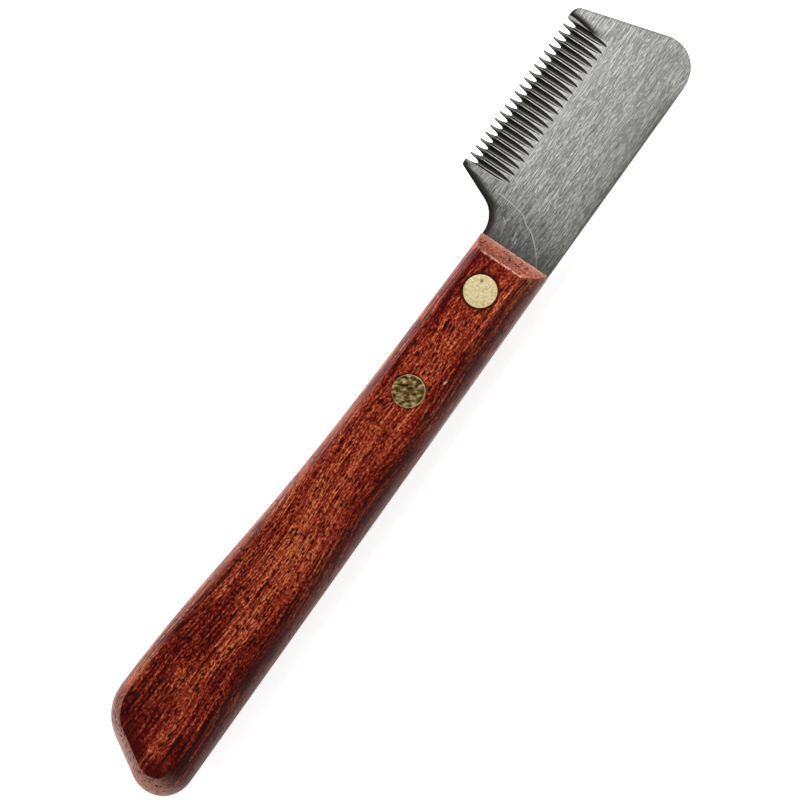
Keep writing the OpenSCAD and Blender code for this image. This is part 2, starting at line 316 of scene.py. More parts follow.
def oiled_rosewood():
    """Rosewood, shaped, sanded and oiled: red-brown with a fine speckle, thin lines along the grain, short open pores,
    paler end grain, and a low shine that brightens toward the edges, which are pale where they are sharp: worn by
    rubbing on the slope, a painted highlight on the side edges near the front. The sides and, in part, the end
    grain's paleness are a painted sheen; painted shade darkens the gaps round the rivet heads and the front flanks."""
    material, tree = new_material("rosewood_oiled")
    mm = own_axes(tree)
    x, y, z = add_node(tree, "SeparateXYZ", (mm,)).outputs
    flank, end_grain_and_sheen, handled_and_gap_shade, edge_wear_and_highlight = (add_node(tree, "Attribute", attribute_name=name).outputs["Fac"]
                                            for name in ("flank", "end_grain_and_sheen", "handled_and_gap_shade", "edge_wear_and_highlight"))
    # the grain wanders by a few millimetres, and spreads like a fan near the butt
    drift = add_node(tree, "TexNoise", {"Vector": mm, "Scale": 1 / 26, "Detail": 1.0}).outputs["Color"]
    bent = add_node(tree, "VectorMath", (drift, (0.0, 4.0, 4.0), mm), operation="MULTIPLY_ADD")
    bent = add_node(tree, "VectorMath", (bent, (0.0, 11.0, 2.0)), operation="SUBTRACT")
    fan = add_node(tree, "MapRange", (x, -65.0, -HANDLE_LENGTH, 1.0, 0.6))
    fan = add_node(tree, "CombineXYZ", (1.0, fan, 1.0))
    grain = add_node(tree, "VectorMath", (bent, fan), operation="MULTIPLY")

    # the heartwood is lighter along the middle of the face, most of all in mid handle; the face is darker just
    # behind the slope, toward the spine behind the rivets, along the finger edge and where it is held, with painted
    # shade in the gaps round the rivet heads; the sides are darker in the front third, painted shade, and paler at
    # its very end
    length = add_node(tree, "MapRange", (x, -HANDLE_LENGTH, 0.0))
    shade = add_node(tree, "ValToRGB", (length,),
                     stops=[(0.1, "#bcbcbc"), (0.25, "#c0c0c0"), (0.4, "#dadada"), (0.58, "#c6c6c6"), (0.85, "#b4b4b4"),
                            (0.925, "#b4b4b4"), (0.95, "#9c9c9c"), (0.966, "#9c9c9c"), (0.97, "#bcbcbc")])
    heel = add_node(tree, "MapRange", (x, -78.0, -95.0, 0.0, 3.0))
    band = add_node(tree, "Math", (y, heel), operation="ADD")
    band = add_node(tree, "MapRange", (band, 10.8, 12.4, 0.0, -0.18), interpolation_type="SMOOTHSTEP")
    face = add_node(tree, "MapRange", (flank, 0.95, 0.45))
    toward_spine = add_node(tree, "MapRange", (y, 7.0, 2.5), interpolation_type="SMOOTHSTEP")
    rear = add_node(tree, "MapRange", (x, -31.0, -46.0, 0.04, -0.3))
    # painted shade: the flanks are darker in the front third
    front = add_node(tree, "MapRange", (x, -40.0, -15.0, 0.0, -0.14))
    front_end = add_node(tree, "MapRange", (x, -13.0, -6.0, 0.0, 0.3))
    for amount, weight in ((band, face), (toward_spine, rear), (flank, front), (flank, front_end), (handled_and_gap_shade, -0.6)):
        shade = add_node(tree, "Math", (amount, weight, shade), operation="MULTIPLY_ADD")
    # broad figure 3 mm wide and 50 mm long; lines 0.4 mm wide and 12 mm long, stronger toward the butt and on the
    # flanks; speckle 0.3 mm wide and 0.6 mm long, weaker on the flanks
    drawn = add_node(tree, "MapRange", (x, -20.0, -72.0, 1.3, 1.6))
    drawn = add_node(tree, "Math", (flank, 0.8, drawn), operation="MULTIPLY_ADD")
    strong = add_node(tree, "MapRange", (flank, 0.0, 1.0, 1.85, 1.6))
    for size, shift, along, strength in (((50, 3, 3), (0, 0, 0), grain, 0.7), ((12, 0.4, 0.9), (3, 7, 1), grain, drawn),
                                         ((0.6, 0.3, 0.3), (0, 0, 0), bent, strong)):
        speckle = add_node(tree, "Mapping", {"Vector": along, "Location": shift, "Scale": tuple(1 / np.array(size))})
        speckle = add_node(tree, "TexNoise", {"Vector": speckle, "Scale": 1.0, "Detail": 1.0})
        swing = add_node(tree, "Math", (speckle, 0.5), operation="SUBTRACT")
        shade = add_node(tree, "Math", (swing, strength, shade), operation="MULTIPLY_ADD")
    tone = add_node(tree, "ValToRGB", (shade,),
                    stops=[(0.0, "#3a0406"), (0.15, "#5b0c07"), (0.33, "#751e11"), (0.5, "#8b311f"), (0.67, "#a5452a"),
                           (0.82, "#ba5935"), (1.0, "#d97e50")])

    # a painted sheen: the sides are paler toward mid height, and the finger side all over
    mid_height = add_node(tree, "Math", (z,), operation="ABSOLUTE")
    mid_height = add_node(tree, "MapRange", (mid_height, 3.8, 1.0, 0.0, 0.43))
    finger = add_node(tree, "MapRange", (y, 8.0, 9.0))
    finger = add_node(tree, "Math", (finger, flank), operation="MULTIPLY")
    painted_sheen = add_node(tree, "MapRange", (x, -15.0, -45.0, 0.0, 0.12))
    painted_sheen = add_node(tree, "Math", (finger, painted_sheen, mid_height), operation="MULTIPLY_ADD")
    # near-black streaks 0.5 mm wide and 7 mm long, most of them in the butt's finger half
    streak = add_node(tree, "Mapping", {"Vector": grain, "Location": (1.0, 2.0, 5.0),
                                        "Scale": (1 / 7, 1 / 0.5, 1 / 0.5)})
    streak = add_node(tree, "TexNoise", {"Vector": streak, "Scale": 1.0, "Detail": 1.0})
    toward_heel = add_node(tree, "Math", (y, -2.0, x), operation="MULTIPLY_ADD")
    least = add_node(tree, "MapRange", (toward_heel, -80.0, -115.0, 0.645, 0.58))
    streak = add_node(tree, "Math", (streak, least), operation="SUBTRACT")
    streak = add_node(tree, "MapRange", (streak, 0.0, 0.08, 0.0, 0.85))
    # open pores: dark dashes about 1 mm long, drawn 0.4 mm wide so that they show, in patches, most of them between the
    # rivets, in mid handle, where they are shorter and closer, and in end grain
    short = add_node(tree, "MapRange", (x, -58.0, -98.0, 0.0, -12.0))
    short = add_node(tree, "CombineXYZ", (short,))
    pore = add_node(tree, "Mapping", {"Vector": bent, "Scale": (1 / 2.4, 1 / 0.75, 1 / 0.75)})
    pore = add_node(tree, "VectorMath", (pore, short), operation="ADD")
    pore = add_node(tree, "TexVoronoi", {"Vector": pore, "Scale": 1.0}, feature="F1")
    crowd = add_node(tree, "TexNoise", {"Vector": mm, "Scale": 1 / 9, "Detail": 1.0})
    for at, reach, more in ((-78.0, 22.0, 0.35), (-21.0, 12.0, 0.25)):
        here = add_node(tree, "Math", (x, at, reach), operation="COMPARE")
        crowd = add_node(tree, "Math", (here, more, crowd), operation="MULTIPLY_ADD")
    crowd = add_node(tree, "Math", (end_grain_and_sheen, 0.5, crowd), operation="MULTIPLY_ADD")
    chance = add_node(tree, "SeparateColor", (pore.outputs["Color"],))
    chosen = add_node(tree, "Math", (chance, crowd), operation="LESS_THAN")
    hollow = add_node(tree, "MapRange", (pore, 0.23, 0.35, 0.95, 0.0))
    hollow = add_node(tree, "Math", (hollow, chosen), operation="MULTIPLY")
    # vessels cut across: dots drawn 0.4 mm wide, 0.85 mm apart
    vessel = add_node(tree, "Mapping", {"Vector": mm, "Scale": (1 / 14, 1 / 0.85, 1 / 0.85)})
    vessel = add_node(tree, "TexVoronoi", {"Vector": vessel, "Scale": 1.0}, feature="F1")
    vessel = add_node(tree, "MapRange", (vessel, 0.2, 0.34, 1.5, 0.0))
    hollow = add_node(tree, "Math", (vessel, end_grain_and_sheen, hollow), operation="MULTIPLY_ADD", use_clamp=True)
    # a small nick beside the rear rivet, and edges worn pale by rubbing, with a painted highlight on the sharp side
    # edges near the front
    nick = add_node(tree, "Mapping", {"Vector": mm, "Location": (-27.8, 2.9, HALF), "Rotation": (0, 0, -0.25),
                                      "Scale": (0.42, 0.15, 1.0)}, vector_type="TEXTURE")
    nick = add_node(tree, "VectorMath", (nick,), operation="LENGTH").outputs["Value"]
    nick = add_node(tree, "Math", (nick, 1.0), operation="LESS_THAN")
    pale = add_node(tree, "TexNoise", {"Vector": mm, "Scale": 1 / 0.9, "Detail": 2.0})
    pale = add_node(tree, "MapRange", (pale, 0.4, 0.6))
    pale = add_node(tree, "Math", (pale, edge_wear_and_highlight, nick), operation="MULTIPLY_ADD", use_clamp=True)
    # tones: darker where held, with painted shade in the gaps round the rivet heads; painted sheen on the sides;
    # near-black streaks; end grain, partly a painted sheen; pores; and pale edges, partly a painted highlight
    for amount, code in ((handled_and_gap_shade, "#4e140b"), (painted_sheen, "#c79b8a"), (streak, "#260306"), (end_grain_and_sheen, "#bc8876"),
                         (hollow, "#260203"), (pale, "#e6bba8")):
        tone = add_node(tree, "Mix", {0: amount, 6: tone, 7: hex_linear(code)}, data_type="RGBA").outputs[2]

    # the spine side shines less than the finger side
    rough = add_node(tree, "MapRange", (speckle, 0.3, 0.7, 0.28, 0.38))
    spine = add_node(tree, "Math", (flank, finger), operation="SUBTRACT")
    rough = add_node(tree, "Math", (spine, 0.14, rough), operation="MULTIPLY_ADD")
    sink = add_node(tree, "Math", (speckle, 0.3, hollow), operation="MULTIPLY_ADD")
    bump = add_node(tree, "Bump", {"Height": sink, "Strength": 0.3, "Distance": 4e-5}, invert=True)
    shader = add_node(tree, "BsdfPrincipled", {"Base Color": tone, "Roughness": rough, "Normal": bump,
                                               "Specular IOR Level": 0.08})
    add_node(tree, "OutputMaterial", (shader,))
    return material


def rivet_brass(name, grain, stops, dented, rim_shine, rough):
    """Brass, turned and ground flush with the wood: a pale satin face with a fine grain, or a dark, dented one whose
    patina is worn bright in spots; the rim has a painted highlight."""
    material, tree = new_material(name)
    cloud = add_node(tree, "Mapping", {"Vector": own_axes(tree), "Location": (2.2, 1.1, 2.4),
                                       "Rotation": (0, 0, -0.95), "Scale": grain}, vector_type="TEXTURE")
    cloud = add_node(tree, "TexNoise", {"Vector": cloud, "Scale": 1.0, "Detail": 3.0, "Roughness": 0.55})
    tone = add_node(tree, "ValToRGB", (cloud,), stops=stops)
    bump = add_node(tree, "Bump", {"Height": cloud, "Strength": dented, "Distance": 1e-4})
    # the rim is painted brighter than the face, a painted highlight, and a knock holds brown dirt
    rim, soiled = (add_node(tree, "Attribute", attribute_name=mark).outputs["Fac"] for mark in ("rim", "soiled"))
    rim = add_node(tree, "Math", (rim, rim_shine), operation="MULTIPLY")
    for amount, code in ((rim, "#ffecb0"), (soiled, "#6b4a1c")):
        tone = add_node(tree, "Mix", {0: amount, 6: tone, 7: hex_linear(code)}, data_type="RGBA").outputs[2]
    shader = add_node(tree, "BsdfPrincipled", {"Base Color": tone, "Metallic": 1.0, "Roughness": rough, "Normal": bump})
    add_node(tree, "OutputMaterial", (shader,))
    return material


# ---------------------------------------------------------------------------------------------------------------
# Blade

GROOVE_R = (PITCH - CREST) / 2
GROOVE_Y = BLADE_WIDTH - GROOVE_LENGTH
DIP = np.arctan(THICK / (GROOVE_LENGTH - NOTCH))
NECK_Y = FRONT_WIDTH - FIT
CHOIL = np.array([NECK + CHOIL_RADIUS * np.tan(KINK), NECK_Y + CHOIL_RADIUS])
CHOIL_END = CHOIL + CHOIL_RADIUS * np.array([np.sin(FLANK), -np.cos(FLANK)])
POST_X = CHOIL_END[0] + (BLADE_WIDTH - CHOIL_END[1]) / np.tan(FLANK)
POST = np.array([POST_X + POST_RADIUS * (1 - np.cos(FLANK)) / np.sin(FLANK), BLADE_WIDTH - POST_RADIUS])
POST_START = POST[0] - POST_RADIUS * np.sin(FLANK)
GROOVE_X = POST_X + FRONT_POST + GROOVE_R + PITCH * np.arange(GROOVES)
ROW_START, ROW_END = GROOVE_X[0] - GROOVE_R, GROOVE_X[-1] + GROOVE_R
CORNER_X = ROW_END + CORNER_POST
CORNER = np.array([CORNER_X + (CORNER_RADIUS * np.sin(END_LEAN) - CORNER_RADIUS) / np.cos(END_LEAN),
                   BLADE_WIDTH - CORNER_RADIUS])
CORNER_END = CORNER + CORNER_RADIUS * np.array([np.cos(END_LEAN), np.sin(END_LEAN)])
TIP = np.array([CORNER_X + ((BLADE_WIDTH - TIP_RADIUS) * np.sin(END_LEAN) - TIP_RADIUS) / np.cos(END_LEAN), TIP_RADIUS])
TIP_START = TIP[0] + TIP_RADIUS * np.cos(END_LEAN)


def tooth_side(x):
    """Upper edge of the blade without its tooth gaps: tang, neck, notch arc, flank, post, tip line, corner, end."""
    return np.select(
        [x < 0, x < CHOIL[0], x < CHOIL_END[0], x < POST_START, x < POST[0], x < CORNER[0], x < CORNER_END[0],
         x < TIP_START],
        [finger_side(x) - FIT, NECK_Y, CHOIL[1] - half_round(x, CHOIL[0], CHOIL_RADIUS),
         CHOIL_END[1] + (x - CHOIL_END[0]) * np.tan(FLANK), POST[1] + half_round(x, POST[0], POST_RADIUS), BLADE_WIDTH,
         CORNER[1] + half_round(x, CORNER[0], CORNER_RADIUS), CORNER_END[1] - (x - CORNER_END[0]) / np.tan(END_LEAN)],
        TIP[1] + half_round(x, TIP[0], TIP_RADIUS),
    )


def make_blade(material):
    """Blade and tang as one plate. Columns run along x and rows from the spine to the tooth edge; the upper face is
    the plate's face lowered by depth: a groove of radius r at offset d from its middle line lies
    (y - start) tan(dip) - (r - sqrt(r^2 - d^2)) / cos(dip) deep. A column inside a groove ends where that depth
    reaches the plate's thickness, which gives the tooth gaps their rounded ends."""
    across = np.array([0.2, 0.4, 0.6, 0.8, 0.93, 0.985, 1]) * GROOVE_R
    block = np.linspace(-HOLE_BLOCK, HOLE_BLOCK, 15)
    columns = np.unique(np.round(np.concatenate([
        [-TANG_LENGTH, -37.3], RIVET_X[1] + block, np.linspace(-28, -15, 8), RIVET_X[0] + block,
        [-5, -3, -1, -0.3, 0, 0.1, 0.2],
        CHOIL[0] + CHOIL_RADIUS * np.sin(FLANK * np.linspace(0, 1, 33)),
        np.linspace(CHOIL_END[0], POST_START, 14),
        POST[0] - POST_RADIUS * np.sin(FLANK * np.linspace(1, 0, 10)),
        np.linspace(POST[0], ROW_START, 8),
        (GROOVE_X[:, None] + np.concatenate([-across, [0], across])).ravel(),
        np.linspace(ROW_END, CORNER[0], 16),
        CORNER[0] + CORNER_RADIUS * np.sin((np.pi / 2 - END_LEAN) * np.linspace(0, 1, 10)),
        np.linspace(CORNER_X, TIP_START, 22),
        TIP[0] + TIP_RADIUS * np.sin(np.radians(88) * np.linspace(0, 1, 25)),
    ]), 5))
    edge = tooth_side(columns)
    spine = np.where(columns < 0, spine_side(columns) + FIT, 0.0)
    spine = np.where(columns > TIP[0], TIP[1] - half_round(columns, TIP[0], TIP_RADIUS), spine)
    edge_lean, spine_lean = (np.sqrt(1 + np.gradient(side, columns) ** 2) for side in (edge, spine))
    x, edge, spine, edge_lean, spine_lean = (v[:, None] for v in (columns, edge, spine, edge_lean, spine_lean))

    # offset from the middle line of the nearest groove, and how far the groove's floor rises there
    offset = x - GROOVE_X[np.abs(x - GROOVE_X).argmin(1)][:, None]
    rise = GROOVE_R - half_round(offset, 0, GROOVE_R)
    inside = np.abs(offset) < 0.99 * GROOVE_R
    row = (x > ROW_START - 1e-3) & (x < ROW_END + 1e-3)
    mouth = np.where(row, GROOVE_Y + np.where(inside, rise, GROOVE_R) / np.sin(DIP), spine + 0.75 * (edge - spine))
    through = GROOVE_Y + (THICK - FEATHER) / np.tan(DIP) + rise / np.sin(DIP)
    ends = np.where(inside, np.minimum(edge, through), edge)
    to_mouth = np.array([0, 0.0015, 0.0035, 0.006, 0.012, 0.03, 0.06, 0.1, 0.16, 0.22, 0.29, 0.36, 0.43, 0.5, 0.57,
                         0.64, 0.71, 0.78, 0.85, 0.91, 0.96, 0.9985])
    to_end = np.array([0, 0.008, 0.03, 0.1, 0.25, 0.4, 0.55, 0.68, 0.78, 0.86, 0.92, 0.955, 0.975, 0.988, 0.995, 1])
    y = np.hstack([spine + (mouth - spine) * to_mouth, mouth + (ends - mouth) * to_end])

    depth = np.where(inside, (y - GROOVE_Y) * np.tan(DIP) - rise / np.cos(DIP), 0)
    depth = np.clip(depth, 0, THICK - FEATHER)
    to_edge, to_spine = (edge - y) / edge_lean, (y - spine) / spine_lean
    # edges are broken outside the handle; the notch, its flank and the end corner are worn rounder, and the tooth tips
    # are worn down by 0.3 mm
    open_air = fade(x, -0.2, 0.2)
    end = fade(x, CORNER[0] - 0.5, CORNER[0] + 0.5)
    broken = blunt(to_spine, EDGE_BREAK) * open_air + blunt(to_edge, EDGE_BREAK + 0.08 * end) * (~row * open_air)
    worn = fade(x, -1.5, -0.5) * (1 - fade(x, POST[0], ROW_START))
    # beside the last groove a narrow crest is left, then a bevel that widens toward the corner, painted dark as shade
    beside = x - ROW_END - 0.5 * fade(y, GROOVE_Y + 3, GROOVE_Y + 8)
    post = (beside > -1e-3) * (1 - fade(x, CORNER_X - 1.4, CORNER_X))
    bevel = (beside > -1e-3) * within(beside, 1.3) ** 2 * fade(y, GROOVE_Y + 1, GROOVE_Y + 6.5)
    bevel = np.maximum(bevel, post * within(to_edge, 1.1) ** 2)
    wear = 0.26 * worn * within(to_edge, 1.3) ** 2 + 0.3 * bevel
    tips = 0.3 * (row & ~inside) * within(to_edge, 0.7) ** 2
    upper_z = THICK / 2 - depth - np.minimum(broken + wear + tips, 0.8 * THICK)
    lower_z = -THICK / 2 + np.minimum(broken, 0.4 * THICK)

    # both faces are darker on their broken edges, along the spine, at the root and round the notch, painted shade;
    # the upper one also in the grooves, partly a rougher grind and partly painted shade, and with painted shade
    # beside the corner and at the tooth tips
    before_tip = 1 - fade(x, CORNER[0] - 6, CORNER[0] + 1)
    dull_and_shade_back = reduce(np.maximum, [
        np.clip(broken / 0.06, 0, 1) * (1 - 0.75 * end),
        before_tip * (0.3 * within(to_spine, 7) ** 1.2 + 0.25 * within(to_spine, 2)),
        1.55 * open_air * before_tip * within(to_spine, EDGE_BREAK),
        0.45 * end * within(to_edge, 0.6),
        0.75 * (1 - fade(x, -1, 14.5)),
        1.8 * worn * within(to_edge, 2.6) ** 1.3,
    ])
    cut = inside & (np.arange(y.shape[1]) >= len(to_mouth))
    crest = row & ~cut
    tip = fade(y, GROOVE_Y + 5.5, GROOVE_Y + 8)
    # a painted highlight line runs along the wall nearer the handle, 0.3 of the radius out
    highlight_line = cut & (np.abs(offset / GROOVE_R + 0.3) < 0.15)
    dull_and_shade_front = reduce(np.maximum, [dull_and_shade_back, cut * (1.15 - 0.75 * highlight_line), 2 * bevel**0.6, 0.8 * crest * tip])
    # the crests are brighter along and above the groove row and fade at the tooth tips, partly from rubbing and partly
    # a painted highlight; the painted highlight line is added
    rubbed_and_highlight = 0.1 * fade(y, GROOVE_Y - 3, GROOVE_Y - 0.5) + 0.5 * fade(y, GROOVE_Y - 0.3, GROOVE_Y + 2.5)
    rubbed_and_highlight = rubbed_and_highlight * crest * (1 - tip) + 0.45 * highlight_line

    count = y.size
    points = np.concatenate([np.dstack([np.broadcast_to(x, y.shape), y, z]).reshape(-1, 3) for z in (upper_z, lower_z)])
    up = np.arange(count).reshape(y.shape)
    # rivet holes: a ring on each face, joined to the rim of a block of cells
    faces, blocks = [], []
    for at in RIVET_X:
        a, b = np.searchsorted(columns, [at - HOLE_BLOCK - 1e-3, at + HOLE_BLOCK - 1e-3])
        c, d = np.searchsorted(y[(a + b) // 2], [RIVET_Y - HOLE_BLOCK, RIVET_Y + HOLE_BLOCK])
        blocks.append((a, b, c, d))
        rim = rim_of(up, blocks[-1])
        steps = [(TUBE_R + FIT, THICK / 2), (TUBE_R + FIT, -THICK / 2)]
        points, loops = add_bore(points, at, rim, steps, rim + count)
        faces.append(quads(np.c_[loops, loops[:, :1]]))
    faces += [cells_but(up, blocks), cells_but(up + count, blocks)[:, ::-1]]
    for border in (up[:, 0], up[:, -1], up[0], up[-1]):
        faces.append(quads(np.stack([border, border + count])))
    marks = {
        "dulled_and_shaded": np.concatenate([dull_and_shade_front.ravel(), dull_and_shade_back.ravel(), np.ones(len(points) - 2 * count)]),
        "rubbed_and_highlight": np.concatenate([rubbed_and_highlight.ravel(), np.zeros(len(points) - count)]),
    }
    build("blade_ground", "blade", material, points, faces, marks)


# ---------------------------------------------------------------------------------------------------------------
# Handle


def arc(centre, radius, start, stop, count):
    """Points of an arc and their outward directions."""
    angle = np.linspace(start, stop, count)
    out = np.c_[np.cos(angle), np.sin(angle)]
    return centre + radius * out, out


def handle_outline():
    """The plan outline as two chains of equal length from the front end to the toe, each with its outward
    direction: the spine side, and the finger side with the heel arc and the butt line."""
    front, rear = RIVET_X
    slot_end = -TANG_LENGTH - FIT
    block = np.linspace(-BORE_BLOCK, BORE_BLOCK, 17)
    on_slope = np.array([0, 0.12, 0.25, 0.4, 0.55, 0.7, 0.82, 0.91, 0.96, 0.985, 1, 1.015, 1.04, 1.08, 1.16, 1.35])
    x = np.unique(np.round(np.concatenate([
        -FRONT_SLOPE * on_slope, front + block, np.linspace(front - BORE_BLOCK, rear + BORE_BLOCK, 12), rear + block,
        np.linspace(slot_end, HEEL[0], 52),
    ]), 5))[::-1]
    step = 0.1
    slope = (finger_side(x + step) - finger_side(x - step)) / (2 * step)
    over = np.c_[x, finger_side(x)]
    over_out = np.c_[-slope, np.ones_like(x)] / np.sqrt(1 + slope**2)[:, None]

    split = np.radians(205)
    heel, heel_out = arc(HEEL, HEEL_RADIUS, np.pi / 2, np.pi - BUTT_SLANT, 23)
    toe, toe_out = arc(TOE, TOE_RADIUS, np.pi - BUTT_SLANT, split, 19)
    butt = heel[-1] + (toe[0] - heel[-1]) * np.linspace(0, 1, 10)[1:-1, None]
    over = np.concatenate([over, heel[1:], butt, toe])
    over_out = np.concatenate([over_out, heel_out[1:], np.tile(toe_out[0], (len(butt), 1)), toe_out])

    bend, bend_out = (chain[1:] for chain in arc(TOE, TOE_RADIUS, 1.5 * np.pi, split, 25))
    straight = np.linspace(HEEL[0], TOE[0], len(over) - len(x) - len(bend) + 1)[1:]
    x = np.concatenate([x, straight])
    under = np.concatenate([np.c_[x, spine_side(x)], bend])
    under_out = np.concatenate([np.tile([0.0, -1.0], (len(x), 1)), bend_out])
    return under, under_out, over, over_out


def side_profile(out, face, fillet):
    """Inset and height of the side's section: a circle that is upright at mid height and reaches the face the
    rounding's width in, then a small arc that joins it to the face."""
    turn = np.minimum(1, np.maximum(0, -out[:, :1]) / np.cos(BUTT_SLANT)) ** 2
    width = SIDE_ROUND + (BUTT_ROUND - SIDE_ROUND) * turn
    radius = (width**2 + HALF**2) / (2 * width)
    centre = radius - np.sqrt((radius - fillet) ** 2 - (face - fillet) ** 2)
    last = np.arctan2(face - fillet, radius - centre)
    kerf = np.arcsin(KERF / radius)
    angle = np.hstack([np.zeros_like(kerf), kerf + (last - kerf) * np.linspace(0, 1, 9)])
    soft = last + (np.pi / 2 - last) * np.linspace(0, 1, 6)[1:]
    inset = np.hstack([radius * (1 - np.cos(angle)), centre - fillet * np.cos(soft)])
    height = np.hstack([radius * np.sin(angle), face - fillet + fillet * np.sin(soft)])
    return inset, height


def make_handle(material):
    """Handle as a skin of sections: each station along the length has the spine side's profile, the face and the
    finger side's profile, mirrored below. The saw cut's walls and the stepped rivet bores are joined to the skin. The
    face's height is the lower of the front slope and the flat, eased into each other by a soft minimum."""
    under, under_out, over, over_out = handle_outline()
    x = under[:, :1]
    land, ease = KERF + FRONT_LAND, 0.05
    slope = land + (HALF - land) * np.minimum(-x, 3 * FRONT_SLOPE) / FRONT_SLOPE
    face = -ease * np.log(np.exp(-slope / ease) + np.exp(-HALF / ease))
    fillet = 0.1 + 2.0 * fade(-x, 8, 55) * (1 - fade(-x, 80, 112))
    low_in, low_z = side_profile(under_out, face, fillet)
    high_in, high_z = side_profile(over_out, face, fillet)
    low = np.dstack([under[:, None] - under_out[:, None] * low_in[..., None], low_z])
    high = np.dstack([over[:, None] - over_out[:, None] * high_in[..., None], high_z])[:, ::-1]
    rows = 16
    share = np.linspace(0, 1, rows + 1)[1:-1, None]
    flat = low[:, -1:] + (high[:, :1] - low[:, -1:]) * share
    skin = np.concatenate([low, flat, high], 1)
    stations, around = skin.shape[:2]
    side = low.shape[1]
    skin_ids = np.arange(stations * around).reshape(stations, around)

    def station(at):
        return int(np.argmin(np.abs(x - at)))

    kerf_end = station(-TANG_LENGTH - FIT)
    in_kerf = slice(kerf_end + 1)
    wall_low, wall_high = low[in_kerf, 1:2], high[in_kerf, -2:-1]
    wall = wall_low + (wall_high - wall_low) * share
    wall_ids = skin_ids.size + np.arange(wall[..., 0].size).reshape(wall.shape[:2])
    wall_ids = np.column_stack([skin_ids[in_kerf, 1], wall_ids, skin_ids[in_kerf, -2]])
    points = np.concatenate([skin.reshape(-1, 3), wall.reshape(-1, 3)])

    # the bore's rim is broken by 0.09 mm; painted shade for the gap round the rivet head darkens it, and a ring
    # 0.6 mm out from the head keeps that shade close
    faces, shaded_gaps, wall_blocks = [], [], []
    blocks = [(0, kerf_end, 0, 1), (0, kerf_end, around - 2, around - 1)]
    bore, hole = HEAD_R + FIT, TUBE_R + FIT
    steps = [(HEAD_R + 0.6, HALF), (bore + 0.09, HALF), (bore, HALF - 0.08), (bore, SEAT), (hole, SEAT), (hole, KERF)]
    for at, gap_darkness in zip(RIVET_X, (0.75, 0.2)):
        a, b = station(at + BORE_BLOCK), station(at - BORE_BLOCK)
        blocks.append((a, b, side, side + rows - 2))
        wall_blocks.append((a, b, 1, rows - 1))
        points, loops = add_bore(points, at, rim_of(skin_ids, blocks[-1]), steps, rim_of(wall_ids, wall_blocks[-1]))
        shaded_gaps.append((loops[2:4], gap_darkness))
        faces.append(quads(np.c_[loops, loops[:, :1]]))
    faces += [cells_but(skin_ids, blocks), cells_but(wall_ids, wall_blocks)[:, ::-1]]

    edge_wear_and_highlight, flank, end_grain_and_sheen, handled_and_gap_shade = np.zeros((4, len(points)))
    # the slope's top edge and front edge are worn by rubbing, and the sharp side edges near the front carry a painted
    # highlight
    on_edge = np.exp(-((x + FRONT_SLOPE) / 0.14) ** 2) + 0.6 * np.exp(-(x / 0.3) ** 2)
    crisp = 0.45 * (1 - fade(-x, 12, 24))
    fillet_start, face_start = side - 4, side - 1
    edge_wear_and_highlight[skin_ids[:, fillet_start:around - fillet_start]] = on_edge
    edge_wear_and_highlight[skin_ids[:, fillet_start:face_start]] = np.maximum(on_edge, crisp)
    # flanks are 1 on the sides and 0 on the face; end grain shows on the butt's flank and, cut askew, on the slope;
    # its pale tone is partly a painted sheen
    number = np.arange(around)
    sides = 1 - fade(np.minimum(number, around - 1 - number), 6, face_start)
    flank[skin_ids] = sides
    askew = 0.25 * (x > -FRONT_SLOPE + 0.01) * (1 - sides)
    under_back, over_back = (np.clip(-out[:, :1] / np.cos(BUTT_SLANT), 0, 1) for out in (under_out, over_out))
    end_grain_and_sheen[skin_ids] = askew + 0.6 * np.where(number < around // 2, under_back, over_back) ** 2 * sides
    # the face is darker where held, within 2 to 5 mm of the butt's edge, and along the finger edge beside the rivets
    # and in the rear half
    handled_and_gap_shade[skin_ids] = 0.45 * (1 - sides) * sum(
        back * (1 - fade(np.linalg.norm(skin - edge, axis=2), 2, 5))
        for back, edge in ((under_back, low[:, -1:]), (over_back, high[:, :1])))
    from_edge = np.maximum(np.abs(number - (around - side + 2.5)) - 2.5, 0)
    handled_and_gap_shade[skin_ids] += 0.22 * within(from_edge, 1.6) * (
        fade(-x, 3.5, 4.2) - fade(-x, 30, 46) + fade(-x, 60, 70) - fade(-x, 90, 102))
    for ids, gap_darkness in shaded_gaps:
        handled_and_gap_shade[ids] = gap_darkness
    marks = {"edge_wear_and_highlight": edge_wear_and_highlight, "flank": flank, "end_grain_and_sheen": end_grain_and_sheen, "handled_and_gap_shade": handled_and_gap_shade}
    marks = {mark: np.tile(values, 2) for mark, values in marks.items()}

    half = len(points)
    points = np.concatenate([points, points * (1, 1, -1)])
    faces += [f[:, ::-1] + half for f in faces]
    front = np.concatenate([skin_ids[0, 1:-1], wall_ids[0, -2:0:-1]])
    back = np.concatenate([wall_ids[-1], skin_ids[kerf_end, -1:], wall_ids[-1, ::-1] + half, skin_ids[kerf_end, :1]])
    build("handle_wood", "handle", material, points, faces, marks, [front, front[::-1] + half, back])


# ---------------------------------------------------------------------------------------------------------------
# Rivets


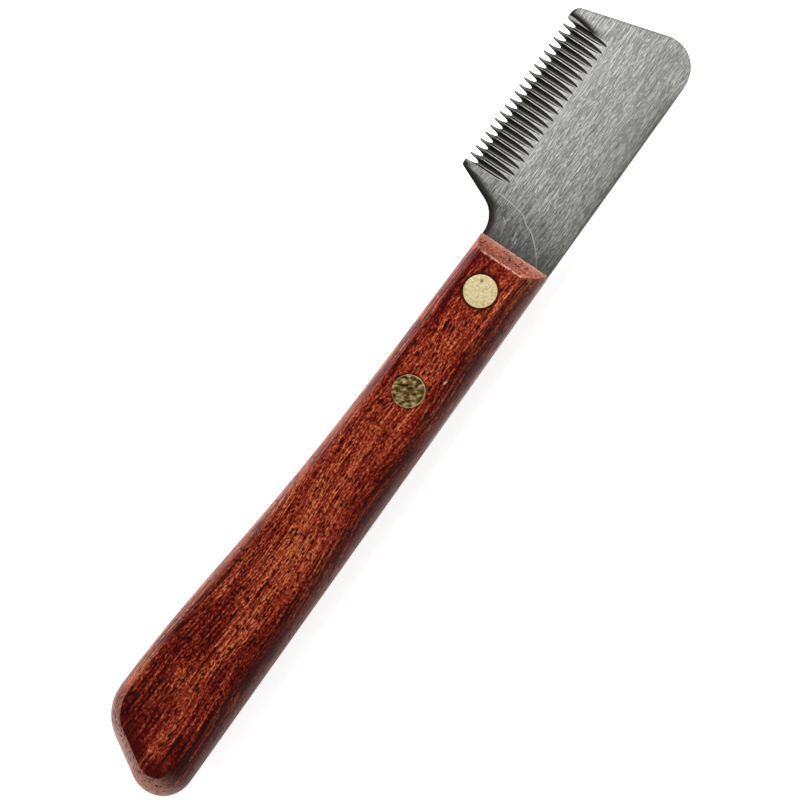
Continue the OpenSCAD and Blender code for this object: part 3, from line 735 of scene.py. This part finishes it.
def turned(name, node, x, profile, material, flip=False, dents=()):
    """A turned piece: a profile of radius and height carried round a rivet's axis. A dent (place, size, depth) lowers
    the face by a bell curve."""
    radius, z = np.array(profile, float).T
    angle = np.linspace(0, 2 * np.pi, 97)[:-1]
    grid = np.dstack([np.outer(np.cos(angle), radius), np.outer(np.sin(angle), radius),
                      np.repeat(z[None], len(angle), 0)])
    soiled = np.zeros(grid.shape[:2])
    for dx, dy, size, deep in dents:
        hit = np.exp(-((grid[..., 0] - dx) ** 2 + (grid[..., 1] - dy) ** 2) / size**2) * (grid[..., 2] > HALF - 0.4)
        grid[..., 2] -= deep * hit
        soiled += hit
    if flip:
        grid = grid * (1, -1, -1)
    ids = np.arange(soiled.size).reshape(soiled.shape)
    # the rim's painted highlight is strongest on one side
    rim = np.outer(0.65 + 0.35 * np.cos(angle + 0.95), (radius > HEAD_R - 0.2) & (z > HALF - 1))
    build(name, node, material, grid.reshape(-1, 3) + (x, RIVET_Y, 0),
          [quads(np.concatenate([ids, ids[:1]]))], {"rim": rim.ravel(), "soiled": soiled.ravel()}, sharp=40)


def make_rivets(front_brass, rear_brass):
    """Four halves: heads with a slight crown and a rounded rim, a solid stem above, a tube below."""
    inner = HEAD_R - RIM_ROUND
    r, a = np.linspace(0, inner, 22), np.linspace(0.2, np.pi / 2, 7)
    crown = np.c_[r, HEAD_FACE + CROWN * (1 - (r / HEAD_R) ** 2)]
    # the rim's arc starts on the crown, which is 0.007 mm high there
    rim = np.c_[inner + RIM_ROUND * np.sin(a), HEAD_FACE - RIM_ROUND + (RIM_ROUND + 0.007) * np.cos(a)]
    head = np.concatenate([crown, rim, [(HEAD_R, SEAT)]])
    bore, foot = STEM_R + STEM_FIT, SEAT - SHANK
    post = np.concatenate([head, [(STEM_R, SEAT), (STEM_R, foot), (0, foot)]])
    tube = np.concatenate([head, [(TUBE_R, SEAT), (TUBE_R, foot), (bore, foot), (bore, SEAT), (0, SEAT)]])
    knock = [(1.7, 0.85, 0.3, 0.045)]
    for end, x, brass, dents in (("front", RIVET_X[0], front_brass, knock), ("rear", RIVET_X[1], rear_brass, [])):
        turned(f"{end}_rivet_head", f"{end}_rivet_post", x, post, brass, dents=dents)
        turned(f"{end}_rivet_back", f"{end}_rivet_tube", x, tube, brass, flip=True)


# ---------------------------------------------------------------------------------------------------------------
# Studio


def make_floor():
    """A white floor that glows where the camera or a mirror sees it, and lights nothing."""
    material, tree = new_material("white_paper_sweep")
    shader = add_node(tree, "BsdfPrincipled", {"Base Color": hex_linear("#f4f4f4"), "Roughness": 0.9})
    path = add_node(tree, "LightPath").outputs
    seen = add_node(tree, "Math", (path["Is Camera Ray"], path["Is Glossy Ray"]), operation="MAXIMUM")
    seen = add_node(tree, "Math", (seen, path["Is Transmission Ray"]), operation="MAXIMUM")
    dark = add_node(tree, "Emission", {"Color": (0, 0, 0, 1), "Strength": 0.0})
    glow = add_node(tree, "Emission", {"Color": (1, 1, 1, 1), "Strength": 0.86})
    added = add_node(tree, "MixShader", (seen, dark, glow))
    both = add_node(tree, "AddShader", (shader, added))
    add_node(tree, "OutputMaterial", (both,))
    reach, low = 3.0, -3e-4
    mesh = bpy.data.meshes.new("floor")
    mesh.from_pydata([(-reach, -reach, low), (reach, -reach, low), (reach, reach, low), (-reach, reach, low)], [],
                     [(0, 1, 2, 3)])
    mesh.materials.append(material)
    floor = bpy.data.objects.new("floor", mesh)
    bpy.context.scene.collection.objects.link(floor)


def make_world():
    """A soft world, dim overhead and beyond the spine, brighter low down on the finger side."""
    world = bpy.data.worlds.new("studio")
    bpy.context.scene.world = world
    world.use_nodes = True
    sky = world.node_tree
    where = add_node(sky, "TexCoord").outputs["Generated"]
    light = add_node(sky, "VectorMath", (where, (-0.15, 0.45, -0.88)), operation="DOT_PRODUCT").outputs["Value"]
    light = add_node(sky, "MapRange", (light, -0.85, 0.45, 0.05, 0.32))
    # in a mirror the studio is a pale tent, white low down
    tent = add_node(sky, "SeparateXYZ", (where,)).outputs["Z"]
    tent = add_node(sky, "MapRange", (tent, 0.2, 0.9, 0.9, 0.58))
    mirrored = add_node(sky, "LightPath").outputs["Is Glossy Ray"]
    tent = add_node(sky, "Math", (tent, mirrored), operation="MULTIPLY")
    light = add_node(sky, "Math", (tent, light), operation="MAXIMUM")
    background = sky.nodes["Background"].inputs
    background["Color"].default_value = (1, 1, 1, 1)
    sky.links.new(light.outputs[0], background["Strength"])


def make_lights():
    """Soft boxes: a key beyond the tip, a fill at the butt and a faint one off the tooth edge that mirrors show."""
    for name, at, toward, size, power, mirrored in (
            ("box_key", (0.326, 0.18, 0.32), (0.05, 0, 0), (0.2, 0.2), 2.45, False),
            ("box_butt", (-0.36, 0.02, 0.07), (-0.08, 0, 0.006), (0.2, 0.1), 0.4, False),
            ("box_over", (0.173, 0.119, 0.16), (0.173, 0.119, 0), (0.2, 0.2), 0.095, True)):
        light = bpy.data.lights.new(name, "AREA")
        light.shape, light.size, light.size_y, light.energy = "RECTANGLE", *size, power
        box = bpy.data.objects.new(name, light)
        aim = (Vector(toward) - Vector(at)).to_track_quat("-Z", "Y")
        box.matrix_world = Matrix.Translation(at) @ aim.to_matrix().to_4x4()
        box.visible_glossy = mirrored
        bpy.context.scene.collection.objects.link(box)


def make_camera():
    """A long lens above the knife, leaning toward its butt and spine as the photograph does."""
    lens, sensor, wide = 600.0, 36.0, 0.14656
    target = Vector((0.00075, -0.00338, 0.00625))
    toward = Vector((-0.1478, -0.1822, 0.9721)).normalized()
    along = Vector((0.989, -0.0272, 0.1453))
    along = (along - along.dot(toward) * toward).normalized()
    across = toward.cross(along)
    turn = np.radians(54.317)
    right = np.cos(turn) * along - np.sin(turn) * across
    up = np.sin(turn) * along + np.cos(turn) * across
    data = bpy.data.cameras.new("camera")
    data.lens, data.sensor_width, data.sensor_fit = lens, sensor, "HORIZONTAL"
    data.clip_start, data.clip_end = 0.01, 20
    camera = bpy.data.objects.new("camera", data)
    aim = Matrix((right, up, toward)).transposed().to_4x4()
    camera.matrix_world = Matrix.Translation(target + toward * (wide * lens / sensor)) @ aim
    bpy.context.scene.collection.objects.link(camera)
    bpy.context.scene.camera = camera


make_blade(ground_steel())
make_handle(oiled_rosewood())
# the front rivet has a grain of 0.5 mm, the rear one strokes of patina 1.2 mm long
make_rivets(
    rivet_brass("brass_ground", (0.5, 0.5, 0.5), [(0.25, "#ccb77e"), (0.5, "#fbe8b2"), (0.7, "#fffad6")],
                dented=0.15, rim_shine=0.8, rough=0.5),
    rivet_brass("brass_patinated", (1.2, 0.75, 0.75),
                [(0.36, "#2e220f"), (0.46, "#6e552c"), (0.54, "#9f814f"), (0.64, "#d8c28c")],
                dented=0.8, rim_shine=0.5, rough=0.3),
)
make_floor()
make_world()
make_lights()
make_camera()
bpy.context.scene.view_settings.view_transform = "Standard"
